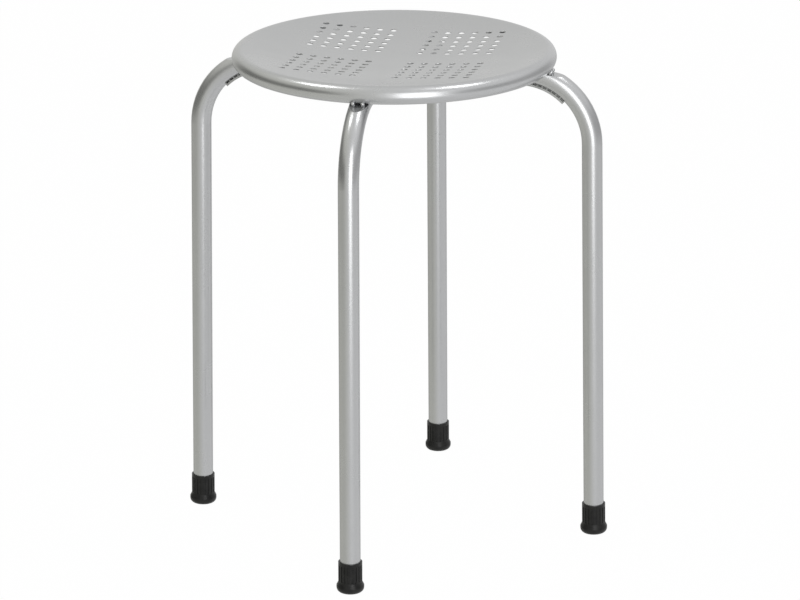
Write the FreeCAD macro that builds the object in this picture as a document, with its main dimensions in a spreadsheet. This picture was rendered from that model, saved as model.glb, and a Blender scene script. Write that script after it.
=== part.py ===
import FreeCAD, Part
import math
import os
import Sketcher
from FreeCAD import Vector

# Round stacking stool: a perforated, dished steel seat welded into pressed saddles of two crossing
# tube frames, with moulded stacking pads under the bends and rubber ferrules on the tube ends.
# Millimetres. Origin on the floor below the middle of the seat, Z up. One frame tube runs along X
# (right and left legs), the other along Y (front and back legs).

SIZES = [
    ("seat_diameter", 300, "outside of the rolled rim"),
    ("seat_height", 463.5, "floor to the top of the rim"),
    ("seat_sheet", 0.8, "thickness of the pressed sheet"),
    ("dish_depth", 10.5, "top of the rim down to the middle of the seat"),
    ("rim_radius", 8.5, "outer radius of the rolled rim's section"),
    ("rim_curl", 60, "how far the edge rolls on past the rim's lowest line, degrees"),
    ("hole_diameter", 6, "round perforation"),
    ("hole_pitch", 13.1, "centre to centre within a block"),
    ("hole_margin", 15, "least distance from a block's outer corner hole to the rim's middle line"),
    ("plain_band", 39.3, "between the nearest holes of two blocks, centre to centre"),
    ("tube_diameter", 19, "outside of the frame tube"),
    ("tube_wall", 1.2, "wall of the frame tube"),
    ("bend_radius", 66, "centreline radius of the four bends"),
    ("crown_press", 3.4, "how deep each run's crown is pressed flat under the dish"),
    ("crown_nose", 60, "radius at the ends of the tool that presses the crown"),
    ("leg_outset", 42, "leg axis at the floor, outside the edge of the seat"),
    ("leg_splay", 0.9, "lean of each leg, degrees"),
    ("saddle_fall", 8, "fall of the pressed flat from the rim outwards, degrees"),
    ("saddle_reach", 32, "length of the press tool outside the rim"),
    ("lap_length", 21, "flat of the pressed lap where the tubes cross"),
    ("lap_nose", 14, "edge radius of the tool that presses the lap"),
    ("fit_gap", 0.1, "clearance between pieces that seat on each other"),
    ("weld_size", 4.4, "diameter of a tack weld"),
    ("weld_spacing", 10, "between the two tacks of one saddle"),
    ("weld_angle", 36, "place of a tack round the rim, outwards from its lowest line, degrees"),
    ("lap_weld_size", 3.6, "diameter of a bead along the lap"),
    ("lap_weld_length", 12, "length of a bead along the lap"),
    ("pad_start", 5, "first end of a stacking pad round the bend, degrees from the run"),
    ("pad_sweep", 40, "angle that a stacking pad covers, degrees"),
    ("pad_width", 10.4, "width of a pad's tread"),
    ("pad_tread", 1.9, "thickness of a pad's tread"),
    ("pad_gap", 0.2, "between the tube and the tread, at the middle"),
    ("pad_web", 4.5, "width of the web in the recess"),
    ("pad_rib", 1.2, "thickness of a cross rib in the recess"),
    ("pad_rib_inset", 0.8, "a rib's ends, in from the edges of the tread"),
    ("pad_rib_count", 9, "cross ribs along a pad"),
    ("stud_diameter", 5, "push-in stud of a pad"),
    ("stud_length", 4, "how far a stud reaches into the tube"),
    ("stud_inset", 9, "stud from the end of the pad, degrees"),
    ("foot_length", 28.6, "height of a rubber ferrule"),
    ("foot_wall", 1.4, "wall of a ferrule's sleeve"),
    ("foot_flare", 1.7, "how far the widest band stands out from the sleeve"),
    ("foot_toe_inset", 3.7, "edge of the flat sole, in from the widest band"),
    ("foot_toe", 4, "height of the rounded toe over the floor"),
    ("foot_band", 2, "height of the widest band over the toe"),
    ("foot_slope", 3.4, "height of the cone from the widest band to the sleeve"),
    ("foot_floor", 5, "rubber under the washer"),
    ("sole_trim", 0.35, "least rubber that the level sole takes off a leaning ferrule"),
    ("flute_count", 20, "flutes round a ferrule"),
    ("flute_width", 1.7, "width of a flute"),
    ("flute_depth", 0.5, "depth of a flute"),
    ("flute_margin", 2.6, "plain collar over the flutes"),
    ("flute_rise", 1.1, "plain stretch between the cone and the flutes"),
    ("washer_gap", 0.3, "clearance round the steel washer in the ferrule"),
    ("washer_bore", 8, "hole of the washer"),
    ("washer_thickness", 1.5, "thickness of the washer"),
]

doc = FreeCAD.newDocument("stacking_stool")
sheet = doc.addObject("Spreadsheet::Sheet", "sizes")
for row, (alias, number, note) in enumerate(SIZES, start=1):
    sheet.set(f"A{row}", alias)
    sheet.set(f"B{row}", str(number))
    sheet.setAlias(f"B{row}", alias)
    sheet.set(f"C{row}", note)
doc.recompute()

# Derived places, as expressions of the sheet's sizes
RIM_X = "(sizes.seat_diameter / 2 - sizes.rim_radius)"
RIM_Z = "(sizes.seat_height - sizes.rim_radius)"
DISH_Z = "(sizes.seat_height - sizes.dish_depth)"
DISH_RADIUS = f"(({RIM_X} ^ 2 + sizes.dish_depth ^ 2) / (2 * sizes.dish_depth) - sizes.rim_radius)"
BLOCK_REACH = f"(({RIM_X} - sizes.hole_margin) / sqrt(2) - sizes.plain_band / 2)"
HOLE_COUNT = f"(floor({BLOCK_REACH} / sizes.hole_pitch) + 1)"
TUBE_RADIUS = "(sizes.tube_diameter / 2)"
RUN_Z = f"({DISH_Z} - sizes.seat_sheet - sizes.fit_gap + sizes.crown_press - {TUBE_RADIUS})"
DISH_UNDER = f"({DISH_RADIUS} + sizes.seat_sheet + sizes.fit_gap)"
CROWN_REACH = f"sqrt(sizes.crown_press * (2 * {DISH_UNDER} - sizes.crown_press))"
NOSE_REACH = "sqrt(sizes.crown_press * (2 * sizes.crown_nose - sizes.crown_press))"
RELIEF_LENGTH = f"(2 * ({CROWN_REACH} - {NOSE_REACH}))"
LEG_X = "(sizes.seat_diameter / 2 + sizes.leg_outset)"
TANGENT = "(sizes.bend_radius * tan((90 - sizes.leg_splay) / 2))"
BEND_X = f"({LEG_X} - {RUN_Z} * tan(sizes.leg_splay) - {TANGENT})"
BEND_Z = f"({RUN_Z} - sizes.bend_radius)"
TUBE_END = "(sizes.foot_floor + sizes.washer_thickness)"
PAD_TOP = f"(sizes.bend_radius - {TUBE_RADIUS} - sizes.pad_gap)"
WELD_ARM = "((2 * sizes.rim_radius + sizes.fit_gap) / (1 + cos(sizes.weld_angle + sizes.saddle_fall)))"
WELD_X = f"({RIM_X} + {WELD_ARM} * sin(sizes.weld_angle))"
WELD_Z = f"({RIM_Z} - {WELD_ARM} * cos(sizes.weld_angle))"
BORE_RADIUS = f"({TUBE_RADIUS} + sizes.fit_gap)"
SLEEVE_RADIUS = f"({BORE_RADIUS} + sizes.foot_wall)"
FLARE_RADIUS = f"({SLEEVE_RADIUS} + sizes.foot_flare)"
SOLE_RADIUS = f"({FLARE_RADIUS} - sizes.foot_toe_inset)"
SOLE_DEPTH = f"({SOLE_RADIUS} * tan(sizes.leg_splay) + sizes.sole_trim)"
SLEEVE_Z = "(sizes.foot_toe + sizes.foot_band + sizes.foot_slope)"

ORIGIN = (-1, 1)
AXIS_X = -1
AXIS_Y = -2
START, END, CENTRE = 1, 2, 3
LEGS = {"right": 0, "back": 90, "left": 180, "front": 270}


def value(expression):
    """The number that an expression of the sheet gives."""
    return float(sheet.evalExpression(expression))


def polar(centre, radius, angle):
    """The point at an angle in degrees round a centre."""
    turn = math.radians(angle)
    return Vector(centre.x + radius * math.cos(turn), centre.y + radius * math.sin(turn), 0)


def new_body(label):
    """An empty body with its own label."""
    body = doc.addObject("PartDesign::Body", label)
    body.Label = label
    return body


def origin_plane(body, role):
    """One of the body's own origin planes."""
    return next(item for item in body.Origin.OriginFeatures if item.Role == role)


def new_sketch(body, role, name, lift=None):
    """A sketch on one of the body's planes, lifted along the plane's normal."""
    sketch = body.newObject("Sketcher::SketchObject", name)
    sketch.AttachmentSupport = (origin_plane(body, role), [""])
    sketch.MapMode = "FlatFace"
    if lift:
        sketch.setExpression("AttachmentOffset.Base.z", lift)
    return sketch


def segment(sketch, first, last):
    """A line between two points."""
    return sketch.addGeometry(Part.LineSegment(first, last))


def arc(sketch, centre, radius, first, last):
    """An arc that runs anticlockwise between two angles in degrees."""
    whole = Part.Circle(centre, Vector(0, 0, 1), radius)
    return sketch.addGeometry(Part.ArcOfCircle(whole, math.radians(first), math.radians(last)))


def circle(sketch, centre, radius):
    """A whole circle."""
    return sketch.addGeometry(Part.Circle(centre, Vector(0, 0, 1), radius))


def constrain(sketch, kind, *where):
    """A constraint without a size."""
    sketch.addConstraint(Sketcher.Constraint(kind, *where))


def dimension(sketch, name, kind, where, expression):
    """A constraint whose size follows the sheet."""
    index = sketch.addConstraint(Sketcher.Constraint(kind, *where, value(expression)))
    sketch.renameConstraint(index, name)
    sketch.setExpression(f"Constraints.{name}", expression)


def join(sketch, *pairs):
    """Make the ends of edges meet."""
    for first, last in pairs:
        constrain(sketch, "Coincident", *first, *last)


def chain(sketch, *edges):
    """Make each edge's end meet the start of the next."""
    for edge, following in zip(edges, edges[1:]):
        constrain(sketch, "Coincident", edge, END, following, START)


def place(body, distance, height, turn, lean="0"):
    """Put a body at a distance out from the middle and a height, turned about Z and leaning outwards."""
    body.setExpression(
        "Placement",
        f"placement(vector({distance} * cos({turn}); {distance} * sin({turn}); {height}); "
        f"rotation(vector(0; 0; 1); {turn}) * rotation(vector(0; 1; 0); {lean}))",
    )


# Seat: one pressed sheet


def draw_seat_section(sketch):
    """Wall of the dish and the rolled rim, to be revolved about the vertical axis."""
    rim = Vector(value(RIM_X), value(RIM_Z), 0)
    radius = value("sizes.rim_radius")
    wall = value("sizes.seat_sheet")
    dish = value(DISH_RADIUS)
    dish_centre = Vector(0, value(DISH_Z) + dish, 0)
    slope = math.degrees(math.asin(rim.x / (dish + radius)))
    curl_end = 270 - value("sizes.rim_curl")
    top = arc(sketch, dish_centre, dish, 270, 270 + slope)
    outside = arc(sketch, rim, radius, curl_end - 360, 90 + slope)
    inside = arc(sketch, rim, radius - wall, curl_end - 360, 90 + slope)
    under = arc(sketch, dish_centre, dish + wall, 270, 270 + slope)
    edge = segment(sketch, polar(rim, radius, curl_end), polar(rim, radius - wall, curl_end))
    middle = segment(sketch, polar(dish_centre, dish + wall, 270), polar(dish_centre, dish, 270))
    constrain(sketch, "Tangent", top, END, outside, END)
    constrain(sketch, "Tangent", under, END, inside, END)
    join(sketch, ((edge, START), (outside, START)), ((edge, END), (inside, START)))
    join(sketch, ((middle, START), (under, START)), ((middle, END), (top, START)))
    join(sketch, ((inside, CENTRE), (outside, CENTRE)), ((under, CENTRE), (top, CENTRE)))
    constrain(sketch, "PointOnObject", top, CENTRE, AXIS_Y)
    constrain(sketch, "PointOnObject", top, START, AXIS_Y)
    constrain(sketch, "PointOnObject", under, START, AXIS_Y)
    dimension(sketch, "rim_x", "DistanceX", (*ORIGIN, outside, CENTRE), RIM_X)
    dimension(sketch, "rim_z", "DistanceY", (*ORIGIN, outside, CENTRE), RIM_Z)
    dimension(sketch, "dish_z", "DistanceY", (*ORIGIN, top, START), DISH_Z)
    dimension(sketch, "outer_radius", "Radius", (outside,), "sizes.rim_radius")
    dimension(sketch, "inner_radius", "Radius", (inside,), "sizes.rim_radius - sizes.seat_sheet")
    reach = "{rim} - ({radius}) * sin(sizes.rim_curl)"
    outer = reach.format(rim=RIM_X, radius="sizes.rim_radius")
    inner = reach.format(rim=RIM_X, radius="sizes.rim_radius - sizes.seat_sheet")
    dimension(sketch, "outer_curl", "DistanceX", (*ORIGIN, outside, START), outer)
    dimension(sketch, "inner_curl", "DistanceX", (*ORIGIN, inside, START), inner)


def draw_perforation(sketch):
    """The hole nearest the middle of the seat in the first block."""
    offset = value("sizes.plain_band / 2")
    ring = circle(sketch, Vector(offset, offset, 0), value("sizes.hole_diameter / 2"))
    dimension(sketch, "hole_x", "DistanceX", (*ORIGIN, ring, CENTRE), "sizes.plain_band / 2")
    dimension(sketch, "hole_y", "DistanceY", (*ORIGIN, ring, CENTRE), "sizes.plain_band / 2")
    dimension(sketch, "hole", "Diameter", (ring,), "sizes.hole_diameter")


def make_seat():
    """The dished pan: revolved, then pierced with four blocks of holes."""
    body = new_body("seat_pan")
    section = new_sketch(body, "XZ_Plane", "seat_section")
    draw_seat_section(section)
    pan = body.newObject("PartDesign::Revolution", "dished_pan")
    pan.Profile = section
    pan.ReferenceAxis = (section, ["V_Axis"])
    pan.Angle = 360
    hole = new_sketch(body, "XY_Plane", "perforation", lift="sizes.seat_height")
    draw_perforation(hole)
    pierced = body.newObject("PartDesign::Pocket", "pierced_hole")
    pierced.Profile = hole
    pierced.Type = "ThroughAll"
    doc.recompute()
    blocks = body.newObject("PartDesign::MultiTransform", "hole_blocks")
    blocks.Originals = [pierced]
    steps = []
    for name, axis in (("hole_columns", "H_Axis"), ("hole_rows", "V_Axis")):
        line = doc.addObject("PartDesign::LinearPattern", name)
        line.Direction = (hole, [axis])
        line.setExpression("Occurrences", HOLE_COUNT)
        line.setExpression("Length", f"sizes.hole_pitch * ({HOLE_COUNT} - 1)")
        steps.append(line)
    for name, axis in (("left_blocks", "V_Axis"), ("front_blocks", "H_Axis")):
        half = doc.addObject("PartDesign::Mirrored", name)
        half.MirrorPlane = (hole, [axis])
        steps.append(half)
    blocks.Transformations = steps
    body.Tip = blocks
    return body


# Frame: two bent tubes with pressed saddles and laps


def draw_frame_line(sketch, trim):
    """Centreline of half a frame tube: the run under the seat, the bend and the leg."""
    splay = value("sizes.leg_splay")
    run_z = value(RUN_Z)
    bend = Vector(value(BEND_X), value(BEND_Z), 0)
    radius = value("sizes.bend_radius")
    end_x = f"{LEG_X} - ({TUBE_END} - {trim}) * sin(sizes.leg_splay)"
    end_z = f"({TUBE_END} - {trim}) * cos(sizes.leg_splay)"
    run = segment(sketch, Vector(0, run_z, 0), Vector(bend.x, run_z, 0))
    turn = arc(sketch, bend, radius, splay, 90)
    leg = segment(sketch, polar(bend, radius, splay), Vector(value(end_x), value(end_z), 0))
    constrain(sketch, "Horizontal", run)
    constrain(sketch, "PointOnObject", run, START, AXIS_Y)
    constrain(sketch, "Tangent", run, END, turn, END)
    constrain(sketch, "Tangent", turn, START, leg, START)
    dimension(sketch, "run_height", "DistanceY", (*ORIGIN, run, START), RUN_Z)
    dimension(sketch, "bend_x", "DistanceX", (*ORIGIN, run, END), BEND_X)
    dimension(sketch, "bend_radius", "Radius", (turn,), "sizes.bend_radius")
    dimension(sketch, "end_x", "DistanceX", (*ORIGIN, leg, END), end_x)
    dimension(sketch, "end_z", "DistanceY", (*ORIGIN, leg, END), end_z)


def draw_saddle_tool(sketch, skin):
    """Section of the ring tool that presses the saddles: round below the rim, then a falling flat."""
    rim = Vector(value(RIM_X), value(RIM_Z), 0)
    tool = f"sizes.rim_radius + sizes.fit_gap + {skin}"
    radius = value(tool)
    fall = value("sizes.saddle_fall")
    far = value(f"{RIM_X} + sizes.saddle_reach")
    top_z = value("sizes.seat_height")
    touch = polar(rim, radius, 270 - fall)
    drop = touch.y - (far - touch.x) * math.tan(math.radians(fall))
    nose = arc(sketch, rim, radius, 180, 270 - fall)
    flat = segment(sketch, touch, Vector(far, drop, 0))
    outer = segment(sketch, Vector(far, drop, 0), Vector(far, top_z, 0))
    roof = segment(sketch, Vector(far, top_z, 0), Vector(rim.x - radius, top_z, 0))
    inner = segment(sketch, Vector(rim.x - radius, top_z, 0), polar(rim, radius, 180))
    constrain(sketch, "Tangent", nose, END, flat, START)
    constrain(sketch, "Tangent", inner, END, nose, START)
    chain(sketch, flat, outer, roof, inner)
    constrain(sketch, "Vertical", outer)
    constrain(sketch, "Horizontal", roof)
    constrain(sketch, "Vertical", inner)
    dimension(sketch, "rim_x", "DistanceX", (*ORIGIN, nose, CENTRE), RIM_X)
    dimension(sketch, "rim_z", "DistanceY", (*ORIGIN, nose, CENTRE), RIM_Z)
    dimension(sketch, "nose_radius", "Radius", (nose,), tool)
    dimension(sketch, "reach_x", "DistanceX", (*ORIGIN, outer, START), f"{RIM_X} + sizes.saddle_reach")
    dimension(sketch, "fall", "Angle", (outer, START, flat, END), "90 - sizes.saddle_fall")
    dimension(sketch, "roof_z", "DistanceY", (*ORIGIN, roof, START), "sizes.seat_height")


def draw_press_tool(sketch, level, length, nose, side):
    """Section of a flat tool with round ends that presses from above (side 1) or from below (side -1)."""
    height = f"{level} + {side} * ({nose} + sizes.tube_diameter)"
    half = value(length) / 2
    radius = value(nose)
    flat_z = value(level)
    nose_z = flat_z + side * radius
    roof_z = value(height)
    reach = half + radius
    flat = segment(sketch, Vector(-half, flat_z, 0), Vector(half, flat_z, 0))
    if side > 0:
        right = arc(sketch, Vector(half, nose_z, 0), radius, 270, 360)
        left = arc(sketch, Vector(-half, nose_z, 0), radius, 180, 270)
        right_ends, left_ends = (START, END), (END, START)
    else:
        right = arc(sketch, Vector(half, nose_z, 0), radius, 0, 90)
        left = arc(sketch, Vector(-half, nose_z, 0), radius, 90, 180)
        right_ends, left_ends = (END, START), (START, END)
    right_wall = segment(sketch, Vector(reach, nose_z, 0), Vector(reach, roof_z, 0))
    roof = segment(sketch, Vector(reach, roof_z, 0), Vector(-reach, roof_z, 0))
    left_wall = segment(sketch, Vector(-reach, roof_z, 0), Vector(-reach, nose_z, 0))
    constrain(sketch, "Tangent", flat, END, right, right_ends[0])
    constrain(sketch, "Tangent", right, right_ends[1], right_wall, START)
    constrain(sketch, "Tangent", flat, START, left, left_ends[0])
    constrain(sketch, "Tangent", left, left_ends[1], left_wall, END)
    chain(sketch, right_wall, roof, left_wall)
    constrain(sketch, "Symmetric", flat, START, flat, END, AXIS_Y)
    constrain(sketch, "Vertical", right_wall)
    constrain(sketch, "Vertical", left_wall)
    constrain(sketch, "Horizontal", roof)
    constrain(sketch, "Equal", right, left)
    dimension(sketch, "flat_length", "DistanceX", (flat, START, flat, END), length)
    dimension(sketch, "flat_z", "DistanceY", (*ORIGIN, flat, START), level)
    dimension(sketch, "roof_z", "DistanceY", (*ORIGIN, roof, START), height)
    dimension(sketch, "nose_radius", "Radius", (right,), nose)


def press_across(body, name, tool):
    """Press a tool's section into the rod, right across it."""
    pressed = body.newObject("PartDesign::Pocket", name)
    pressed.Profile = tool
    pressed.Midplane = True
    pressed.setExpression("Length", "sizes.tube_diameter * 2")
    return pressed


def make_bent_rod(label, side, turn, skin, trim):
    """A solid rod along the frame line with every pressing in it, all offset inwards by the skin."""
    body = new_body(label)
    line = new_sketch(body, "XZ_Plane", "frame_line")
    draw_frame_line(line, trim)
    section = new_sketch(body, "YZ_Plane", "tube_section")
    ring = circle(section, Vector(0, value(RUN_Z), 0), value(f"{TUBE_RADIUS} - {skin}"))
    constrain(section, "PointOnObject", ring, CENTRE, AXIS_Y)
    dimension(section, "height", "DistanceY", (*ORIGIN, ring, CENTRE), RUN_Z)
    dimension(section, "radius", "Radius", (ring,), f"{TUBE_RADIUS} - {skin}")
    half = body.newObject("PartDesign::AdditivePipe", "half_rod")
    half.Profile = section
    half.Spine = (line, ["Edge1", "Edge2", "Edge3"])
    doc.recompute()
    whole = body.newObject("PartDesign::Mirrored", "whole_rod")
    whole.Originals = [half]
    whole.MirrorPlane = (origin_plane(body, "YZ_Plane"), [""])
    body.Tip = whole
    saddle_tool = new_sketch(body, "XZ_Plane", "saddle_tool")
    draw_saddle_tool(saddle_tool, skin)
    saddles = body.newObject("PartDesign::Groove", "rim_saddles")
    saddles.Profile = saddle_tool
    saddles.ReferenceAxis = (saddle_tool, ["V_Axis"])
    saddles.Angle = 360
    relief_tool = new_sketch(body, "XZ_Plane", "relief_tool")
    relief_level = f"({RUN_Z} + {TUBE_RADIUS} - sizes.crown_press - {skin})"
    draw_press_tool(relief_tool, relief_level, RELIEF_LENGTH, f"(sizes.crown_nose + {skin})", 1)
    press_across(body, "dish_relief", relief_tool)
    lap_tool = new_sketch(body, "XZ_Plane", "lap_tool")
    lap_level = f"({RUN_Z} - {side} * (sizes.fit_gap / 2 + {skin}))"
    draw_press_tool(lap_tool, lap_level, "sizes.lap_length", f"(sizes.lap_nose + {skin})", side)
    body.Tip = press_across(body, "pressed_lap", lap_tool)
    place(body, "0", "0", turn)
    return body


def make_stud_holes(label, turn):
    """The push-in holes for the pads' studs on the inside of both bends."""
    holes = []
    for leg_turn in (turn, turn + 180):
        for angle in stud_angles():
            hole = doc.addObject("Part::Cylinder", "stud_hole")
            hole.setExpression("Radius", "sizes.stud_diameter / 2 + sizes.fit_gap")
            hole.setExpression("Height", "sizes.tube_diameter / 2")
            distance = f"({BEND_X} + ({PAD_TOP}) * sin({angle}))"
            height = f"{BEND_Z} + ({PAD_TOP}) * cos({angle})"
            place(hole, distance, height, leg_turn, angle)
            holes.append(hole)
    group = doc.addObject("Part::MultiFuse", label)
    group.Shapes = holes
    return group


def stud_angles():
    """Both studs' angles round the bend, from the run."""
    first = "(sizes.pad_start + sizes.stud_inset)"
    last = "(sizes.pad_start + sizes.pad_sweep - sizes.stud_inset)"
    return first, last


def cut(label, base, tool):
    """One shape less another."""
    result = doc.addObject("Part::Cut", label)
    result.Base = base
    result.Tool = tool
    result.Label = label
    return result


def make_frame_tube(label, side, turn):
    """A bent tube: the pressed rod, hollowed by the same rod a wall smaller, and pierced for the studs."""
    rod = make_bent_rod(f"{label}_rod", side, turn, "0", "0")
    core = make_bent_rod(f"{label}_core", side, turn, "sizes.tube_wall", "1")
    hollow = cut(f"{label}_hollow", rod, core)
    return rod, cut(label, hollow, make_stud_holes(f"{label}_stud_holes", turn))


# Welds


def make_rim_weld(label, turn, rod, rim):
    """Two tacks between the rim and the saddle, one towards each side of the tube."""
    tacks = []
    for side in (1, -1):
        tack = doc.addObject("Part::Sphere", "tack")
        tack.setExpression("Radius", "sizes.weld_size / 2")
        across = f"({side} * sizes.weld_spacing / 2)"
        x_place = f"{WELD_X} * cos({turn}) - {across} * sin({turn})"
        y_place = f"{WELD_X} * sin({turn}) + {across} * cos({turn})"
        tack.setExpression("Placement.Base.x", x_place)
        tack.setExpression("Placement.Base.y", y_place)
        tack.setExpression("Placement.Base.z", WELD_Z)
        tacks.append(tack)
    pair = doc.addObject("Part::Compound", f"{label}_tacks")
    pair.Links = tacks
    return cut(label, cut(f"{label}_on_rim", pair, rim), rod)


def make_lap_weld(label, lower_rod, upper_rod):
    """Two beads where the upper tube's sides stand on the lower tube's lap."""
    beads = []
    for side in (1, -1):
        bead = doc.addObject("Part::Cylinder", "bead")
        bead.setExpression("Radius", "sizes.lap_weld_size / 2")
        bead.setExpression("Height", "sizes.lap_weld_length")
        bead.setExpression(
            "Placement",
            f"placement(vector({side} * {TUBE_RADIUS}; sizes.lap_weld_length / 2; {RUN_Z}); "
            "rotation(vector(1; 0; 0); 90))",
        )
        beads.append(bead)
    pair = doc.addObject("Part::Compound", f"{label}_beads")
    pair.Links = beads
    return cut(label, cut(f"{label}_on_lower", pair, lower_rod), upper_rod)


def make_rim_ring():
    """The rolled rim as a plain ring, to seat the tacks on. Its seam is turned halfway between two legs."""
    ring = doc.addObject("Part::Torus", "rim_ring")
    ring.setExpression("Radius1", RIM_X)
    ring.setExpression("Radius2", "sizes.rim_radius")
    place(ring, "0", RIM_Z, "45")
    return ring


# Stacking pads


def draw_bar(sketch, width, low, high):
    """A rectangle centred on the sketch's vertical axis between two heights."""
    half = value(width) / 2
    bottom = value(low)
    top = value(high)
    floor = segment(sketch, Vector(-half, bottom, 0), Vector(half, bottom, 0))
    right = segment(sketch, Vector(half, bottom, 0), Vector(half, top, 0))
    roof = segment(sketch, Vector(half, top, 0), Vector(-half, top, 0))
    left = segment(sketch, Vector(-half, top, 0), Vector(-half, bottom, 0))
    chain(sketch, floor, right, roof, left, floor)
    constrain(sketch, "Horizontal", floor)
    constrain(sketch, "Vertical", right)
    constrain(sketch, "Vertical", left)
    constrain(sketch, "Symmetric", roof, START, roof, END, AXIS_Y)
    dimension(sketch, "width", "DistanceX", (floor, START, floor, END), width)
    dimension(sketch, "low", "DistanceY", (*ORIGIN, floor, START), low)
    dimension(sketch, "high", "DistanceY", (*ORIGIN, roof, START), high)


def sweep_bar(body, name, width, low, high, first, sweep):
    """A bar swept round the bend's centre between two angles from the run."""
    section = new_sketch(body, "YZ_Plane", f"{name}_section")
    draw_bar(section, width, low, high)
    section.AttachmentOffset = FreeCAD.Placement(Vector(), FreeCAD.Rotation(Vector(1, 0, 0), value(first)))
    section.setExpression("AttachmentOffset.Rotation.Angle", first)
    bar = body.newObject("PartDesign::Revolution", name)
    bar.Profile = section
    bar.ReferenceAxis = (section, ["H_Axis"])
    bar.setExpression("Angle", sweep)
    return bar


def make_pad(label, turn, rod):
    """A moulded pad: tread, web and cross ribs fitted to the tube's underside, with two studs."""
    body = new_body(f"{label}_moulding")
    inside = f"({PAD_TOP} - sizes.pad_tread)"
    crown = "sizes.bend_radius"
    sweep_bar(body, "tread", "sizes.pad_width", inside, PAD_TOP, "sizes.pad_start", "sizes.pad_sweep")
    sweep_bar(body, "web", "sizes.pad_web", PAD_TOP, crown, "sizes.pad_start", "sizes.pad_sweep")
    rib_angle = f"(sizes.pad_rib / {PAD_TOP} * 180 / pi)"
    first = "sizes.pad_start"
    rib_width = "(sizes.pad_width - 2 * sizes.pad_rib_inset)"
    rib = sweep_bar(body, "rib", rib_width, PAD_TOP, crown, first, rib_angle)
    doc.recompute()
    ribs = body.newObject("PartDesign::PolarPattern", "ribs")
    ribs.Originals = [rib]
    ribs.Axis = (rib.Profile[0], ["H_Axis"])
    ribs.setExpression("Occurrences", "sizes.pad_rib_count")
    ribs.setExpression("Angle", f"sizes.pad_sweep - {rib_angle}")
    body.Tip = ribs
    place(body, BEND_X, BEND_Z, turn)
    seated = cut(f"{label}_seated", body, rod)
    studs = []
    for angle in stud_angles():
        stud = doc.addObject("Part::Cylinder", "stud")
        stud.setExpression("Radius", "sizes.stud_diameter / 2")
        stud.setExpression("Height", "sizes.pad_gap + sizes.stud_length")
        distance = f"({BEND_X} + ({PAD_TOP}) * sin({angle}))"
        height = f"{BEND_Z} + ({PAD_TOP}) * cos({angle})"
        place(stud, distance, height, turn, angle)
        studs.append(stud)
    pad = doc.addObject("Part::MultiFuse", label)
    pad.Shapes = [seated, *studs]
    pad.Label = label
    return pad


# Feet


def draw_foot_section(sketch):
    """Half section of a ferrule: sole, rounded toe, widest band, cone, sleeve and bore."""
    trim = value(SOLE_DEPTH)
    sole = value(SOLE_RADIUS)
    flare = value(FLARE_RADIUS)
    toe_z = value("sizes.foot_toe")
    band_z = value("sizes.foot_toe + sizes.foot_band")
    sleeve = value(SLEEVE_RADIUS)
    sleeve_z = value(SLEEVE_Z)
    top_z = value("sizes.foot_length")
    bore = value(BORE_RADIUS)
    floor_z = value("sizes.foot_floor")
    across = flare - sole
    rise = toe_z + trim
    toe_radius = (across * across + rise * rise) / (2 * across)
    toe_centre = Vector(flare - toe_radius, toe_z, 0)
    toe_start = math.degrees(math.asin(-rise / toe_radius))
    under = segment(sketch, Vector(0, -trim, 0), Vector(sole, -trim, 0))
    toe = arc(sketch, toe_centre, toe_radius, toe_start, 0)
    outline = [
        Vector(flare, toe_z, 0),
        Vector(flare, band_z, 0),
        Vector(sleeve, sleeve_z, 0),
        Vector(sleeve, top_z, 0),
        Vector(bore, top_z, 0),
        Vector(bore, floor_z, 0),
        Vector(0, floor_z, 0),
        Vector(0, -trim, 0),
    ]
    band, cone, side, lip, wall, seat, middle = [
        segment(sketch, first, last) for first, last in zip(outline, outline[1:])
    ]
    chain(sketch, under, toe, band, cone, side, lip, wall, seat, middle, under)
    for line in (band, side, wall, middle):
        constrain(sketch, "Vertical", line)
    for line in (under, lip, seat):
        constrain(sketch, "Horizontal", line)
    constrain(sketch, "PointOnObject", middle, END, AXIS_Y)
    constrain(sketch, "Horizontal", toe, CENTRE, toe, END)
    dimension(sketch, "sole_radius", "DistanceX", (*ORIGIN, under, END), SOLE_RADIUS)
    dimension(sketch, "flare_radius", "DistanceX", (*ORIGIN, band, START), FLARE_RADIUS)
    dimension(sketch, "sleeve_radius", "DistanceX", (*ORIGIN, side, START), SLEEVE_RADIUS)
    dimension(sketch, "bore_radius", "DistanceX", (*ORIGIN, wall, START), BORE_RADIUS)
    dimension(sketch, "trim", "DistanceY", (under, START, *ORIGIN), SOLE_DEPTH)
    dimension(sketch, "toe_z", "DistanceY", (*ORIGIN, band, START), "sizes.foot_toe")
    dimension(sketch, "band_z", "DistanceY", (band, START, band, END), "sizes.foot_band")
    dimension(sketch, "cone_z", "DistanceY", (cone, START, cone, END), "sizes.foot_slope")
    dimension(sketch, "top_z", "DistanceY", (*ORIGIN, side, END), "sizes.foot_length")
    dimension(sketch, "floor_z", "DistanceY", (*ORIGIN, seat, START), "sizes.foot_floor")


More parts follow.
